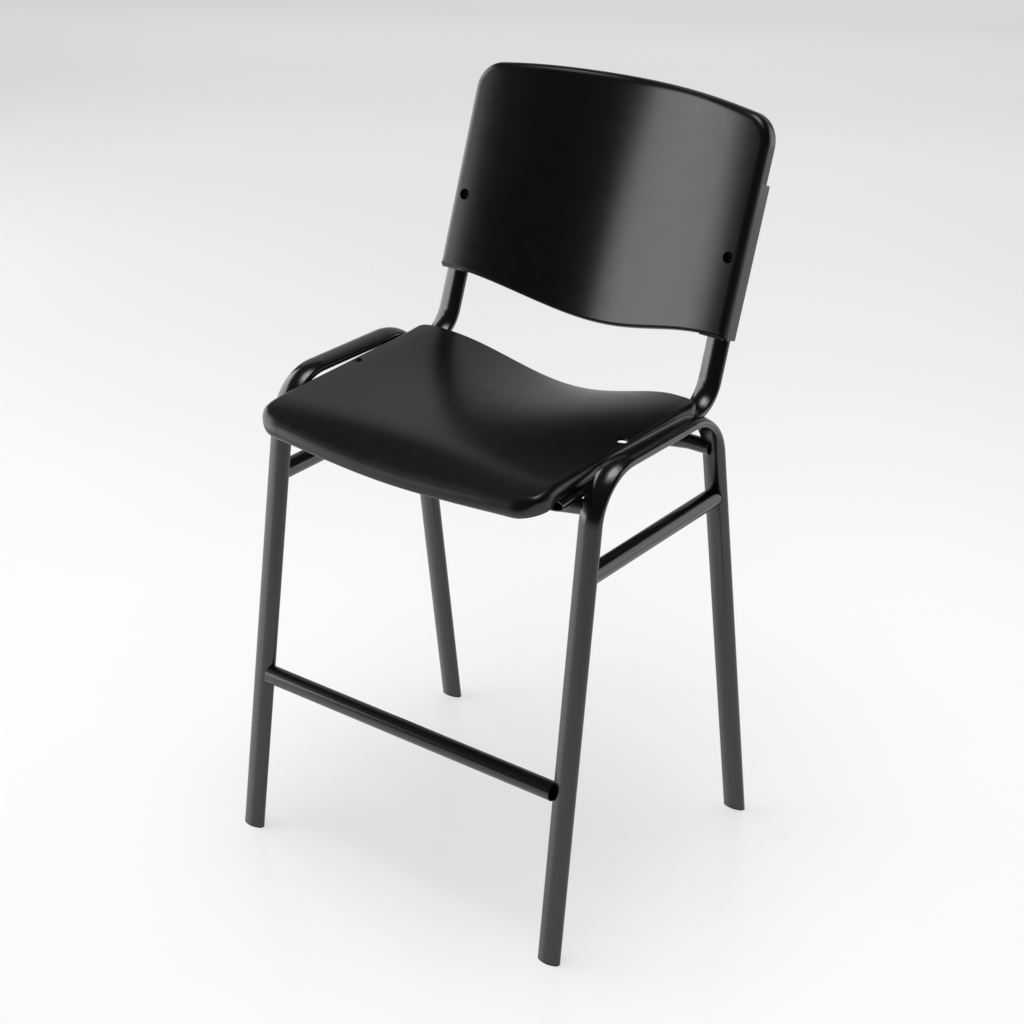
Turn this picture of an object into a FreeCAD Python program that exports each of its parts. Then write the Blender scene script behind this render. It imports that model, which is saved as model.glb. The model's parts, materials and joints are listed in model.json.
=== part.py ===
import FreeCAD, Part
import os, math

V = FreeCAD.Vector

# ---------------------------------------------------------------- dimensions
# Lengths in millimetres.  Front of the chair faces -Y, +X is its right side
# as seen from the front, +Z is up.  Heights are above the floor.
Y_MID = 50.5            # fore-aft middle of the whole chair, measured from mid-feet

TUBE_W = 33.2           # oval frame tube, wide axis (across the chair)
TUBE_T = 16.4           # oval frame tube, thin axis
TUBE_WALL = 1.5
OVAL_K = 2.7            # radius of the oval's end arcs is half its thickness less this
BAR_D = 25.6           # round tube of the stretchers and the footrest
CROSS_D = 20.0          # round tube of the two crossbars under the seat
BAR_WALL = 1.5

FOOT_X = 257.2          # foot centre, half track
FRAME_LEAN = 0.0138     # side frames lean inwards, per unit height
FOOT_FRONT_Y = -222.7
FRONT_LEG_RAKE = 0.1492  # front leg leans back, per unit height
FOOT_REAR_Y = 222.7
REAR_LEG_RAKE = 0.1446   # rear leg leans forward, per unit height
RAIL_Z = 645.8          # axis of the top rail of a side frame at mid length
RAIL_SLOPE = -0.012
FRONT_BEND_R = 71.0
REAR_BEND_R = 66.0
SOLE_T = 2.0            # sole of a foot plug below the tube end
PLUG_H = 20.0           # height of a foot plug above the floor

SUPPORT_X = 215.0       # axis of a seat-and-back support at seat height
SUPPORT_LEAN = 0.0108
SUPPORT_Z = 622.7       # axis height of its seat run at y = 0
SUPPORT_SLOPE = 0.0405
SUPPORT_FRONT_Y = -166.0
BACK_TILT = 19.69       # degrees from the vertical
UPRIGHT_Y = 199.9       # axis of the upright at height UPRIGHT_Z
UPRIGHT_Z = 725.0
UPRIGHT_TOP_V = 92.0    # end of the upright, along the back from its screw holes
SUPPORT_BEND_R = 52.0

STRETCHER_Z = 518.8
FOOTREST_Z = 234.3
FOOTREST_FWD = 4.0      # footrest axis in front of the front leg axis
FOOTREST_HALF = 240.0
FRONT_BAR_Z = 603.0
FRONT_BAR_Y = -126.0
FRONT_BAR_FLAT = 234.0  # the bar starts to dip inside this distance
FRONT_BAR_DIP = 28.0
REAR_BAR_Z = 592.0
REAR_BAR_Y = 131.0
REAR_BAR_FLAT = 216.0
REAR_BAR_DIP = 21.0
BAR_HALF = 249.0
POST_X = 205.0          # saddle posts on the rear crossbar, under the supports
POST_W = 11.0
POST_T = 12.0

SEAT_SIDE_Z = 648.2     # top of the seat along its sides at y = 0
SEAT_SLOPE = 0.02
SEAT_BELL = 206.4       # half width of the seat's dish
SEAT_BELL_POWER = 1.4   # how sharply the dish meets the flat strip along each side
SEAT_FRONT_Y = -221.0
SEAT_REAR_Y = 171.0
SEAT_WALL = 3.5
SEAT_RIM_T = 2.4
SEAT_SKIRT = 17.0       # skirt along the sides and the rear
SEAT_SKIRT_FRONT = 4.0  # and this much deeper round the front
SEAT_SKIRT_CORNER = 3.5 # and deeper again at the front corners
HOLE_D = 11.5           # open holes in the back
SEAT_HOLE_D = 14.0      # open holes on top of the seat
SEAT_HOLE_Y = -21.7
SEAT_SCREW_Y = (-118.0, 84.0)

BACK_Y = 209.8          # front face of the back at its sides, at the screw holes
BACK_Z = 818.5
BACK_HALF = 233.0
BACK_DEPTH = 43.0       # dish of the back
BACK_BELL = 212.0
BACK_BOTTOM_V = -101.8
BACK_BOTTOM_DIP = 26.6
BACK_TOP_V = 201.0
BACK_CROWN = 18.0       # top edge falls this much towards its corners
BACK_CORNER = 39.0
BACK_WALL = 4.0
BACK_RIM = 15.0         # depth of the rim at mid width
BACK_RIM_SIDE = 22.0    # and along both sides
SLEEVE_IN = 194.4       # inner wall of the upright's sleeve
SLEEVE_TOP_V = 98.0
SLEEVE_BOT_V = -103.6
SLEEVE_DEPTH = 32.8

FIT = 0.2               # clearance of plugs and sleeves

TILT = math.radians(BACK_TILT)


# ------------------------------------------------------------------- helpers
def oval_face(c, ew, et, w, t):
    """Flat oval of four tangent arcs, w wide along ew and t thick along et; a circle where w = t."""
    a, b = w / 2.0, t / 2.0
    if abs(a - b) < 0.01:
        return Part.Face(Part.Wire(Part.Circle(c, ew.cross(et), a).toShape()))
    r = b - OVAL_K
    big = a + (a - b) ** 2 / (2.0 * OVAL_K)
    jx = (a - r) + r * (a - r) / (big - r)
    jy = r * (big - b) / (big - r)
    p = lambda x, y: c + ew * x + et * y
    return Part.Face(Part.Wire([
        Part.Arc(p(jx, -jy), p(a, 0), p(jx, jy)).toShape(),
        Part.Arc(p(jx, jy), p(0, b), p(-jx, jy)).toShape(),
        Part.Arc(p(-jx, jy), p(-a, 0), p(-jx, -jy)).toShape(),
        Part.Arc(p(-jx, -jy), p(0, -b), p(jx, -jy)).toShape()]))


def sweep(points, radii, wide, w, t):
    """Solid of an oval bar bent along planar points; wide = unit normal of the plane."""
    n = len(points)
    tang = [0.0] * n
    for i in range(1, n - 1):
        a = (points[i] - points[i - 1]).normalize()
        b = (points[i + 1] - points[i]).normalize()
        turn = math.acos(max(-1.0, min(1.0, a.dot(b))))
        tang[i] = radii[i] * math.tan(turn / 2.0)
    pieces = []
    for i in range(n - 1):
        d = (points[i + 1] - points[i])
        length = d.Length
        u = V(d).normalize()
        side = wide.cross(u).normalize()
        p0 = points[i] + u * tang[i]
        run = length - tang[i] - tang[i + 1]
        pieces.append(oval_face(p0, wide, side, w, t).extrude(u * run))
        if i + 2 < n:
            u2 = V(points[i + 2] - points[i + 1]).normalize()
            turn = math.acos(max(-1.0, min(1.0, u.dot(u2))))
            s = 1.0 if wide.dot(u.cross(u2)) > 0 else -1.0
            p1 = points[i + 1] - u * tang[i + 1]
            centre = p1 + side * (s * radii[i + 1])
            f = oval_face(p1, wide, side, w, t)
            pieces.append(f.revolve(centre, wide * s, math.degrees(turn)))
    body = pieces[0]
    for p in pieces[1:]:
        body = body.fuse(p)
    return body.removeSplitter()


def one(shape):
    """The single solid of a boolean result."""
    s = sorted(shape.Solids, key=lambda q: q.Volume)
    return s[-1]


def mirror(shape):
    return shape.mirror(V(0, 0, 0), V(1, 0, 0))


def slab(z0, z1, r=2000.0):
    return Part.makeBox(2 * r, 2 * r, z1 - z0, V(-r, -r, z0))


def cyl(p, d, dia, length):
    return Part.makeCylinder(dia / 2.0, length, p, d)


def bell(x, half):
    if abs(x) >= half:
        return 0.0
    return math.cos(math.pi * x / (2.0 * half)) ** 2


def frame_x(z):
    return FOOT_X - FRAME_LEAN * z


def front_leg_y(z):
    return FOOT_FRONT_Y + FRONT_LEG_RAKE * z


def rear_leg_y(z):
    return FOOT_REAR_Y - REAR_LEG_RAKE * z


def support_x(z):
    return SUPPORT_X - SUPPORT_LEAN * (z - SUPPORT_Z)


parts = {}

# --------------------------------------------------------------- side frames
lean = math.atan(FRAME_LEAN)
wide_r = V(math.cos(lean), 0, math.sin(lean))


def rail_z(y):
    return RAIL_Z + RAIL_SLOPE * y


def meet(y_at, z_at):
    """Where a leg line and the rail line cross."""
    z = RAIL_Z
    for _ in range(30):
        z = z_at(y_at(z))
    return y_at(z), z


yf, zf = meet(front_leg_y, rail_z)
yr, zr = meet(rear_leg_y, rail_z)
Z_LOW = -30.0
frame_pts = [
    V(frame_x(Z_LOW), front_leg_y(Z_LOW), Z_LOW),
    V(frame_x(zf), yf, zf),
    V(frame_x(zr), yr, zr),
    V(frame_x(Z_LOW), rear_leg_y(Z_LOW), Z_LOW),
]
frame_r = [0, FRONT_BEND_R, REAR_BEND_R, 0]
frame_out = sweep(frame_pts, frame_r, wide_r, TUBE_W, TUBE_T)
frame_in = sweep(frame_pts, frame_r, wide_r, TUBE_W - 2 * TUBE_WALL, TUBE_T - 2 * TUBE_WALL)
frame_plug = sweep(frame_pts, frame_r, wide_r, TUBE_W - 2 * TUBE_WALL - FIT, TUBE_T - 2 * TUBE_WALL - FIT)
side_frame = one(frame_out.cut(frame_in).common(slab(SOLE_T, 2000)))

# foot plugs: an oval core inside the tube on a sole of the tube's outline
sole = frame_out.common(slab(0, SOLE_T))
core = frame_plug.common(slab(SOLE_T - 0.01, PLUG_H))
plugs = {}
for s in sole.Solids:
    c = [k for k in core.Solids if (k.CenterOfMass.y > 0) == (s.CenterOfMass.y > 0)][0]
    plugs["rear" if s.CenterOfMass.y > 0 else "front"] = one(s.fuse(c).removeSplitter())

# ------------------------------------------- seat-and-back supports (L tubes)
def support_z(y):
    return SUPPORT_Z + SUPPORT_SLOPE * y


def upright_y(z):
    return UPRIGHT_Y + math.tan(TILT) * (z - UPRIGHT_Z)


yc, zc = meet(upright_y, support_z)
top_z = BACK_Z + UPRIGHT_TOP_V * math.cos(TILT)
sup_pts = [
    V(support_x(support_z(SUPPORT_FRONT_Y)), SUPPORT_FRONT_Y, support_z(SUPPORT_FRONT_Y)),
    V(support_x(zc), yc, zc),
    V(support_x(top_z), upright_y(top_z), top_z),
]
# normal of the plane that holds the bent tube
sup_n = (sup_pts[1] - sup_pts[0]).cross(sup_pts[2] - sup_pts[1]).normalize()
if sup_n.x < 0:
    sup_n = sup_n * -1.0
sup_r = [0, SUPPORT_BEND_R, 0]
support_out = sweep(sup_pts, sup_r, sup_n, TUBE_W, TUBE_T)
support_in = sweep(sup_pts, sup_r, sup_n, TUBE_W - 2 * TUBE_WALL, TUBE_T - 2 * TUBE_WALL)
support_clear = sweep(sup_pts, sup_r, sup_n, TUBE_W + 2 * FIT, TUBE_T + 2 * FIT)
support = support_out.cut(support_in)

# end plug closing the top of an upright inside the back
up_dir = V(sup_pts[2] - sup_pts[1]).normalize()
up_side = sup_n.cross(up_dir).normalize()
plug_core = oval_face(sup_pts[2], sup_n, up_side, TUBE_W - 2 * TUBE_WALL - FIT, TUBE_T - 2 * TUBE_WALL - FIT).extrude(up_dir * -16.0)
plug_cap = oval_face(sup_pts[2], sup_n, up_side, TUBE_W, TUBE_T).extrude(up_dir * 2.0)
upright_plug = one(plug_core.fuse(plug_cap).removeSplitter())


# ------------------------------------------------------------------ crossbars
def round_bar(points, radii, wide, dia):
    o = sweep(points, radii, wide, dia, dia)
    i = sweep(points, radii, wide, dia - 2 * BAR_WALL, dia - 2 * BAR_WALL)
    return o.cut(i), o


def dipped(y, z, flat, dip):
    pts = [V(-BAR_HALF, y, z), V(-flat, y, z), V(-72, y, z - dip), V(72, y, z - dip), V(flat, y, z), V(BAR_HALF, y, z)]
    return round_bar(pts, [0, 60, 90, 90, 60, 0], V(0, 1, 0), CROSS_D)


front_bar, front_bar_solid = dipped(FRONT_BAR_Y, FRONT_BAR_Z, FRONT_BAR_FLAT, FRONT_BAR_DIP)
rear_bar, rear_bar_solid = dipped(REAR_BAR_Y, REAR_BAR_Z, REAR_BAR_FLAT, REAR_BAR_DIP)
both_frames = [frame_out, mirror(frame_out)]
for f in both_frames + [support_out, mirror(support_out)]:
    front_bar = front_bar.cut(f)
    rear_bar = rear_bar.cut(f)
front_bar = one(front_bar)
rear_bar = one(rear_bar)


# ------------------------- saddle posts between the rear crossbar and supports
post = Part.makeBox(POST_W, POST_T, 60.0, V(POST_X - POST_W / 2.0, REAR_BAR_Y - POST_T / 2.0, REAR_BAR_Z - 4.0))
post = post.cut(rear_bar_solid).cut(support_out)
post = sorted(post.Solids, key=lambda q: q.CenterOfMass.z)[0]

# ----------------------------------------------------- stretchers, footrest
sx = frame_x(STRETCHER_Z)
stretcher, _ = round_bar([V(sx, front_leg_y(STRETCHER_Z), STRETCHER_Z), V(sx, rear_leg_y(STRETCHER_Z), STRETCHER_Z)], [0, 0], V(1, 0, 0), BAR_D)
stretcher = one(stretcher.cut(frame_out))

fy = front_leg_y(FOOTREST_Z) - FOOTREST_FWD
footrest, _ = round_bar([V(-FOOTREST_HALF, fy, FOOTREST_Z), V(FOOTREST_HALF, fy, FOOTREST_Z)], [0, 0], V(0, 1, 0), BAR_D)
for f in both_frames:
    footrest = footrest.cut(f)
footrest = one(footrest)


# ---------------------------------------------------------------- seat shell
def centre_z(y):
    """Height of the seat along its middle line: a smooth cubic through its points."""
    p = [(-240, 606.2), (-221, 620.0), (-200, 630.3), (-175, 640.3), (-150, 644.3), (-120, 644.2), (-80, 642.7), (-40, 639.8), (0, 635.9), (40, 630.9), (80, 624.7), (110, 619.2), (140, 612.5), (171, 602.7), (195, 591.5)]
    y = max(p[0][0], min(p[-1][0], y))
    i = max(k for k in range(len(p) - 1) if p[k][0] <= y)

    def slope(k):
        lo, hi = max(0, k - 1), min(len(p) - 1, k + 1)
        return (p[hi][1] - p[lo][1]) / (p[hi][0] - p[lo][0])

    (y0, z0), (y1, z1) = p[i], p[i + 1]
    w = y1 - y0
    t = (y - y0) / w
    return ((2 * t ** 3 - 3 * t ** 2 + 1) * z0 + (t ** 3 - 2 * t ** 2 + t) * w * slope(i)
            + (3 * t ** 2 - 2 * t ** 3) * z1 + (t ** 3 - t ** 2) * w * slope(i + 1))


def smooth_centre(y):
    s = w = 0.0
    for i in range(-8, 9):
        k = math.cos(math.pi * i / 18.0) ** 2
        s += k * centre_z(y + i * 3.0)
        w += k
    return s / w


def dish(x):
    if abs(x) >= SEAT_BELL:
        return 0.0
    return math.cos(math.pi * x / (2.0 * SEAT_BELL)) ** SEAT_BELL_POWER


def skirt(x, y):
    """Depth of the seat's skirt: deeper round the front, most of all at its corners."""
    t = max(0.0, min(1.0, (-125.0 - y) / 50.0))
    q = max(0.0, min(1.0, (-165.0 - y) / 25.0))
    return (SEAT_SKIRT + SEAT_SKIRT_FRONT * t * t * (3.0 - 2.0 * t)
            + SEAT_SKIRT_CORNER * (1.0 - dish(x)) * q * q * (3.0 - 2.0 * q))


def side_z(y):
    z = SEAT_SIDE_Z + SEAT_SLOPE * y
    if y < -155.0:
        z -= 13.0 * ((-155.0 - y) / 65.0) ** 2.2
    return z


def seat_z(x, y):
    return side_z(y) - (side_z(y) - smooth_centre(y)) * dish(x)


def seat_surface(drop):
    """The seat's upper face, lowered by a depth that may vary from place to place."""
    grid = []
    for i in range(39):
        x = -247.0 + 494.0 * i / 38.0
        row = []
        for j in range(27):
            y = -238.0 + 430.0 * j / 26.0
            row.append(V(x, y, seat_z(x, y) - drop(x, y)))
        grid.append(row)
    s = Part.BSplineSurface()
    s.interpolate(grid)
    return s.toShape()


def plan_wire(pts):
    """Closed outline from arcs and lines given as (kind, points)."""
    edges = []
    for p in pts:
        q = [V(a, b, 0) for a, b in p]
        if len(q) == 3:
            edges.append(Part.Arc(q[0], q[1], q[2]).toShape())
        else:
            edges.append(Part.LineSegment(q[0], q[1]).toShape())
    return Part.Wire(edges)


def arc_mid(p0, p1, corner, k):
    mx, my = (p0[0] + p1[0]) / 2.0, (p0[1] + p1[1]) / 2.0
    return (mx + (corner[0] - mx) * k, my + (corner[1] - my) * k)


def seat_outline(inset):
    i = inset
    a = (186.0 - i * 0.1, SEAT_FRONT_Y + 3.7 + i)
    b = (225.8 - i, -174.0 + i * 0.1)
    c = (229.6 - i, 105.0 - i * 0.1)
    d = (204.0 - i * 0.2, 134.5 - i)
    fm = (216.0 - i * 0.7, -206.2 + i * 0.7)
    rm = (224.5 - i * 0.7, 129.5 - i * 0.7)
    neg = lambda p: (-p[0], p[1])
    return plan_wire([
        (neg(a), (0, SEAT_FRONT_Y + i), a), (a, fm, b), (b, c), (c, rm, d),
        (d, (0, SEAT_REAR_Y - i), neg(d)), (neg(d), neg(rm), neg(c)), (neg(c), neg(b)), (neg(b), neg(fm), neg(a))])


def prism(wire, z0, z1):
    f = Part.Face(wire)
    f.translate(V(0, 0, z0))
    return f.extrude(V(0, 0, z1 - z0))


seat_top = seat_surface(lambda x, y: 0.0)
outer = seat_top.extrude(V(0, 0, -70)).common(prism(seat_outline(0.0), 500, 700))
outer = one(outer.cut(seat_surface(skirt).extrude(V(0, 0, -90))))
inner = seat_surface(lambda x, y: SEAT_WALL).extrude(V(0, 0, -60)).common(prism(seat_outline(SEAT_RIM_T), 500, 700))
seat = one(outer.cut(inner))

# ribs and screw bosses under both sides of the seat, standing on the supports
under = seat_surface(lambda x, y: SEAT_WALL - 0.6).extrude(V(0, 0, -60))
fit_under = []
for y0, y1 in ((-162.0, -70.0), (40.0, 100.0)):
    for dx in (-7.0, 7.0):
        fit_under.append(Part.makeBox(3.0, y1 - y0, 60.0, V(SUPPORT_X + dx - 1.5, y0, 610)))
    for y in (y0, y1 - 3.0):
        fit_under.append(Part.makeBox(17.0, 3.0, 60.0, V(SUPPORT_X - 8.5, y, 610)))
for y in SEAT_SCREW_Y:
    fit_under.append(cyl(V(SUPPORT_X, y, 610), V(0, 0, 1), 15.0, 60))
rib = fit_under[0]
for p in fit_under[1:]:
    rib = rib.fuse(p)
rib = rib.common(under).cut(support_out)
for r in rib.Solids:
    if r.CenterOfMass.z > support_z(r.CenterOfMass.y):
        seat = seat.fuse(r).fuse(mirror(r))
seat = one(seat)
for s in (1, -1):
    seat = seat.cut(cyl(V(s * 214.8, SEAT_HOLE_Y, 600), V(0, 0, 1), SEAT_HOLE_D, 80))
    for y in SEAT_SCREW_Y:
        seat = seat.cut(cyl(V(s * SUPPORT_X, y, 600), V(0, 0, 1), 5.0, 41.0))
seat = one(seat)

# ------------------------------------------------- seat screws and washers
screw_list, washer_list = [], []
drill = []
for y in SEAT_SCREW_Y:
    zb = support_z(y) - TUBE_T / 2.0
    drill.append(cyl(V(SUPPORT_X, y, 560), V(0, 0, 1), 5.0, 81.0))
    washer_list.append(cyl(V(SUPPORT_X, y, zb - 1.4), V(0, 0, 1), 13.0, 1.2).cut(cyl(V(SUPPORT_X, y, zb - 3), V(0, 0, 1), 5.0, 6)))
    head = cyl(V(SUPPORT_X, y, zb - 4.9), V(0, 0, 1), 9.6, 3.5)
    head = head.makeFillet(1.6, [e for e in head.Edges if e.BoundBox.ZMax < zb - 4.5 and len(e.Vertexes) == 1])
    shank = cyl(V(SUPPORT_X, y, zb - 4.0), V(0, 0, 1), 5.0, 641.0 - zb + 4.0)
    screw = head.fuse(shank).removeSplitter()
    cross = Part.makeBox(5.2, 1.1, 1.8, V(SUPPORT_X - 2.6, y - 0.55, zb - 5.2)).fuse(Part.makeBox(1.1, 5.2, 1.8, V(SUPPORT_X - 0.55, y - 2.6, zb - 5.2)))
    screw_list.append(one(screw.cut(cross)))
for d in drill:
    support = support.cut(d)
support = support.cut(cyl(V(214.8, SEAT_HOLE_Y, 624), V(0, 0, 1), 6.6, 30))

# ------------------------------------------------------------ backrest shell
# Built flat in its own frame: x across, y up along the back, z out of its
# front face; the face lies at z = 0 along both sides.


def back_w(x):
    return -BACK_DEPTH * bell(x, BACK_BELL)


def back_surface(drop, more=0.0):
    grid = []
    for i in range(33):
        x = -256.0 + 512.0 * i / 32.0
        grid.append([V(x, -160.0 + 400.0 * j / 5.0, back_w(x) - drop - more * (1.0 - bell(x, BACK_BELL))) for j in range(6)])
    s = Part.BSplineSurface()
    s.interpolate(grid)
    return s.toShape()


def back_outline(inset):
    i = inset
    h = BACK_HALF - i
    r = BACK_CORNER - i
    side_top = BACK_TOP_V - BACK_CROWN
    bottom = []
    for k in range(25):
        x = -h + 2.0 * h * k / 24.0
        bottom.append(V(x, BACK_BOTTOM_V - BACK_BOTTOM_DIP * bell(x, BACK_BELL) + i, 0))
    lo = Part.BSplineCurve()
    lo.interpolate(bottom)
    tl = (-h + r * 0.95, side_top - i + 2.6)
    sl = (-h, side_top - r - i)
    c = (-h, side_top - i + 0.5)
    m = arc_mid(sl, tl, c, 0.43)
    neg = lambda p: (-p[0], p[1])
    v3 = lambda p: V(p[0], p[1], 0)
    edges = [lo.toShape(),
             Part.LineSegment(v3((h, BACK_BOTTOM_V + i)), v3(neg(sl))).toShape(),
             Part.Arc(v3(neg(sl)), v3(neg(m)), v3(neg(tl))).toShape(),
             Part.Arc(v3(neg(tl)), V(0, BACK_TOP_V - i, 0), v3(tl)).toShape(),
             Part.Arc(v3(tl), v3(m), v3(sl)).toShape(),
             Part.LineSegment(v3(sl), v3((-h, BACK_BOTTOM_V + i))).toShape()]
    return Part.Wire(edges)


b_outer = back_surface(0.0).extrude(V(0, 0, -70)).common(prism(back_outline(0.0), -140, 60))
b_outer = one(b_outer.cut(back_surface(BACK_RIM, BACK_RIM_SIDE - BACK_RIM).extrude(V(0, 0, -90))))
b_inner = back_surface(BACK_WALL).extrude(V(0, 0, -60)).common(prism(back_outline(3.0), -140, 60))
back = one(b_outer.cut(b_inner))

place = FreeCAD.Placement(V(0, BACK_Y, BACK_Z), FreeCAD.Rotation(V(1, 0, 0), 90.0 - BACK_TILT))
to_back = place.inverse()


def local(shape):
    s = shape.copy()
    s.Placement = to_back.multiply(s.Placement)
    return s


def world(shape):
    s = shape.copy()
    s.Placement = place.multiply(s.Placement)
    return s


sleeve = Part.makeBox(BACK_HALF - SLEEVE_IN, SLEEVE_TOP_V - SLEEVE_BOT_V, SLEEVE_DEPTH - 0.5, V(SLEEVE_IN, SLEEVE_BOT_V, -SLEEVE_DEPTH))
front_limit = back_surface(0.5).extrude(V(0, 0, -80))
sleeve = sleeve.common(front_limit)
bore = local(support_clear)
cap_room = local(oval_face(sup_pts[2], sup_n, up_side, TUBE_W + 2 * FIT, TUBE_T + 2 * FIT).extrude(up_dir * 2.4))
sleeve = sleeve.cut(bore).cut(cap_room)
sleeve = one(sleeve)
back = one(back.fuse(sleeve).fuse(mirror(sleeve)))
for s in (1, -1):
    back = back.cut(cyl(V(s * 213.0, 0, -8.6), V(0, 0, 1), HOLE_D, 40))
    back = back.cut(cyl(V(s * 213.0, 0, -20), V(0, 0, 1), 6.6, 40))
back = one(back)
# keep the room of the uprights and their plugs free all along
for s in (bore, mirror(bore)):
    back = one(back.cut(s))
back_shell = world(back)

# screws through the front of the back into threaded inserts in the uprights
head = cyl(V(213.0, 0, -8.6), V(0, 0, 1), 10.6, 3.4)
head = head.makeFillet(1.5, [e for e in head.Edges if e.BoundBox.ZMin > -5.6 and len(e.Vertexes) == 1])
shank = cyl(V(213.0, 0, -24.0), V(0, 0, 1), 6.0, 15.6)
scr = head.fuse(shank).removeSplitter()
hexa = Part.Wire(Part.makePolygon([V(213.0 + 2.31 * math.cos(math.radians(60 * k)), 2.31 * math.sin(math.radians(60 * k)), -7.2) for k in range(7)]))
scr = one(scr.cut(Part.Face(hexa).extrude(V(0, 0, 4))))
insert = cyl(V(213.0, 0, -26.5), V(0, 0, 1), 9.0, 12.6).cut(cyl(V(213.0, 0, -30), V(0, 0, 1), 6.0, 20))
back_screw = world(scr)
back_insert = world(insert)
support = one(support.cut(world(cyl(V(213.0, 0, -20), V(0, 0, 1), 9.0, 12))))

# ------------------------------------------------------------------- assemble
parts["side_frame_right"] = side_frame
parts["side_frame_left"] = mirror(side_frame)
parts["back_support_right"] = support
parts["back_support_left"] = mirror(support)
parts["front_crossbar"] = front_bar
parts["rear_crossbar"] = rear_bar
parts["saddle_post_right"] = post
parts["saddle_post_left"] = mirror(post)
parts["side_stretcher_right"] = stretcher
parts["side_stretcher_left"] = mirror(stretcher)
parts["footrest_bar"] = footrest
parts["foot_plug_front_right"] = plugs["front"]
parts["foot_plug_front_left"] = mirror(plugs["front"])
parts["foot_plug_rear_right"] = plugs["rear"]
parts["foot_plug_rear_left"] = mirror(plugs["rear"])
parts["upright_plug_right"] = upright_plug
parts["upright_plug_left"] = mirror(upright_plug)
parts["seat_shell"] = seat
parts["backrest_shell"] = back_shell
parts["seat_screws"] = Part.makeCompound(screw_list + [mirror(s) for s in screw_list])
parts["seat_screw_washers"] = Part.makeCompound(washer_list + [mirror(s) for s in washer_list])
parts["backrest_screws"] = Part.makeCompound([back_screw, mirror(back_screw)])
parts["backrest_inserts"] = Part.makeCompound([back_insert, mirror(back_insert)])

os.makedirs("parts", exist_ok=True)
whole = FreeCAD.BoundBox()
for name, shape in parts.items():
    s = shape.copy()
    s.translate(V(0, -Y_MID, 0))
    s.exportStep("parts/" + name + ".step")
    bb = s.optimalBoundingBox()
    whole.add(bb)
    print("%-22s solids %d valid %s vol %9.0f  x %.1f..%.1f y %.1f..%.1f z %.1f..%.1f" % (
        name, len(s.Solids), s.isValid(), s.Volume, bb.XMin, bb.XMax, bb.YMin, bb.YMax, bb.ZMin, bb.ZMax))
print("whole x %.2f..%.2f y %.2f..%.2f z %.2f..%.2f" % (whole.XMin, whole.XMax, whole.YMin, whole.YMax, whole.ZMin, whole.ZMax))
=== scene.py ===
import bpy
import bmesh
import json
import math
from mathutils import Vector, Matrix


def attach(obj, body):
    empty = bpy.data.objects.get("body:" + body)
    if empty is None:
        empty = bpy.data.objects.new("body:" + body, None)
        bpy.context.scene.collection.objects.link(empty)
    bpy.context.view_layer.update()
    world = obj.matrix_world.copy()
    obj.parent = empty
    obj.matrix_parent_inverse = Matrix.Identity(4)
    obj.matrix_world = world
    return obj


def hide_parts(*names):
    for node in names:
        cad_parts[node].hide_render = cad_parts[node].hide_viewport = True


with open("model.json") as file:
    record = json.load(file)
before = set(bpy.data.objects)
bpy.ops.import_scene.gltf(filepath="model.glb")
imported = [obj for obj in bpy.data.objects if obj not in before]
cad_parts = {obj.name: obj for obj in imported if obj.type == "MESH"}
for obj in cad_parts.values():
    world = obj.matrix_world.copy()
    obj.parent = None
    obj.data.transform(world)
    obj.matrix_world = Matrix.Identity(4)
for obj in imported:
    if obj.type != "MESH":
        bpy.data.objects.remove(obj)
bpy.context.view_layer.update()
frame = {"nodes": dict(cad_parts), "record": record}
nodes = frame["nodes"]
scene = bpy.context.scene

# ------------------------------------------------------------------ dimensions
# Millimetres, measured from the middle of the feet; Y0 is where the frame's
# origin lies from there.
MM = 0.001
Y0 = 50.5

SEAT_SIDE_Z = 648.2
SEAT_SLOPE = 0.02
SEAT_BELL, SEAT_BELL_POWER = 206.4, 1.4
SEAT_FRONT_Y = -221.0
SEAT_REAR_Y = 171.0
SEAT_SKIRT, SEAT_SKIRT_FRONT, SEAT_SKIRT_CORNER = 17.0, 4.0, 3.5
SEAT_WALL = 3.5
SEAT_RIM_T = 2.4
SEAT_HOLE = (214.8, -21.7)
SEAT_HOLE_D = 14.0
HOLE_D = 15.0

SUPPORT_X, SUPPORT_LEAN = 215.0, 0.0108
SUPPORT_Z, SUPPORT_SLOPE = 622.7, 0.0405
TUBE_W, TUBE_T, OVAL_K = 33.2, 16.4, 2.7

BACK_Y, BACK_Z = 209.8, 818.5
BACK_TILT = math.radians(19.69)
BACK_HALF = 233.0
BACK_DEPTH = 43.0
BACK_BELL = 218.0
BACK_BOTTOM_V, BACK_BOTTOM_DIP = -101.8, 26.6
BACK_TOP_V, BACK_CROWN, BACK_CORNER = 201.0, 18.0, 39.0
BACK_WALL, BACK_RIM, BACK_RIM_SIDE = 4.0, 15.0, 22.0
SLEEVE_IN, SLEEVE_TOP_V, SLEEVE_BOT_V, SLEEVE_DEPTH = 194.4, 98.0, -103.6, 32.8
UPRIGHT_Y, UPRIGHT_Z = 199.9, 725.0
BACK_HOLE_X = 213.0


# ------------------------------------------------------------------- materials
def material(name):
    m = bpy.data.materials.new(name)
    m.use_nodes = True
    nt = m.node_tree
    return m, nt, nt.nodes["Principled BSDF"]


def coords(nt):
    return nt.nodes.new("ShaderNodeTexCoord").outputs["Object"]


def noise(nt, co, scale, detail, rough=0.5):
    n = nt.nodes.new("ShaderNodeTexNoise")
    n.inputs["Scale"].default_value = scale
    n.inputs["Detail"].default_value = detail
    n.inputs["Roughness"].default_value = rough
    nt.links.new(co, n.inputs["Vector"])
    return n.outputs["Fac"]


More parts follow.
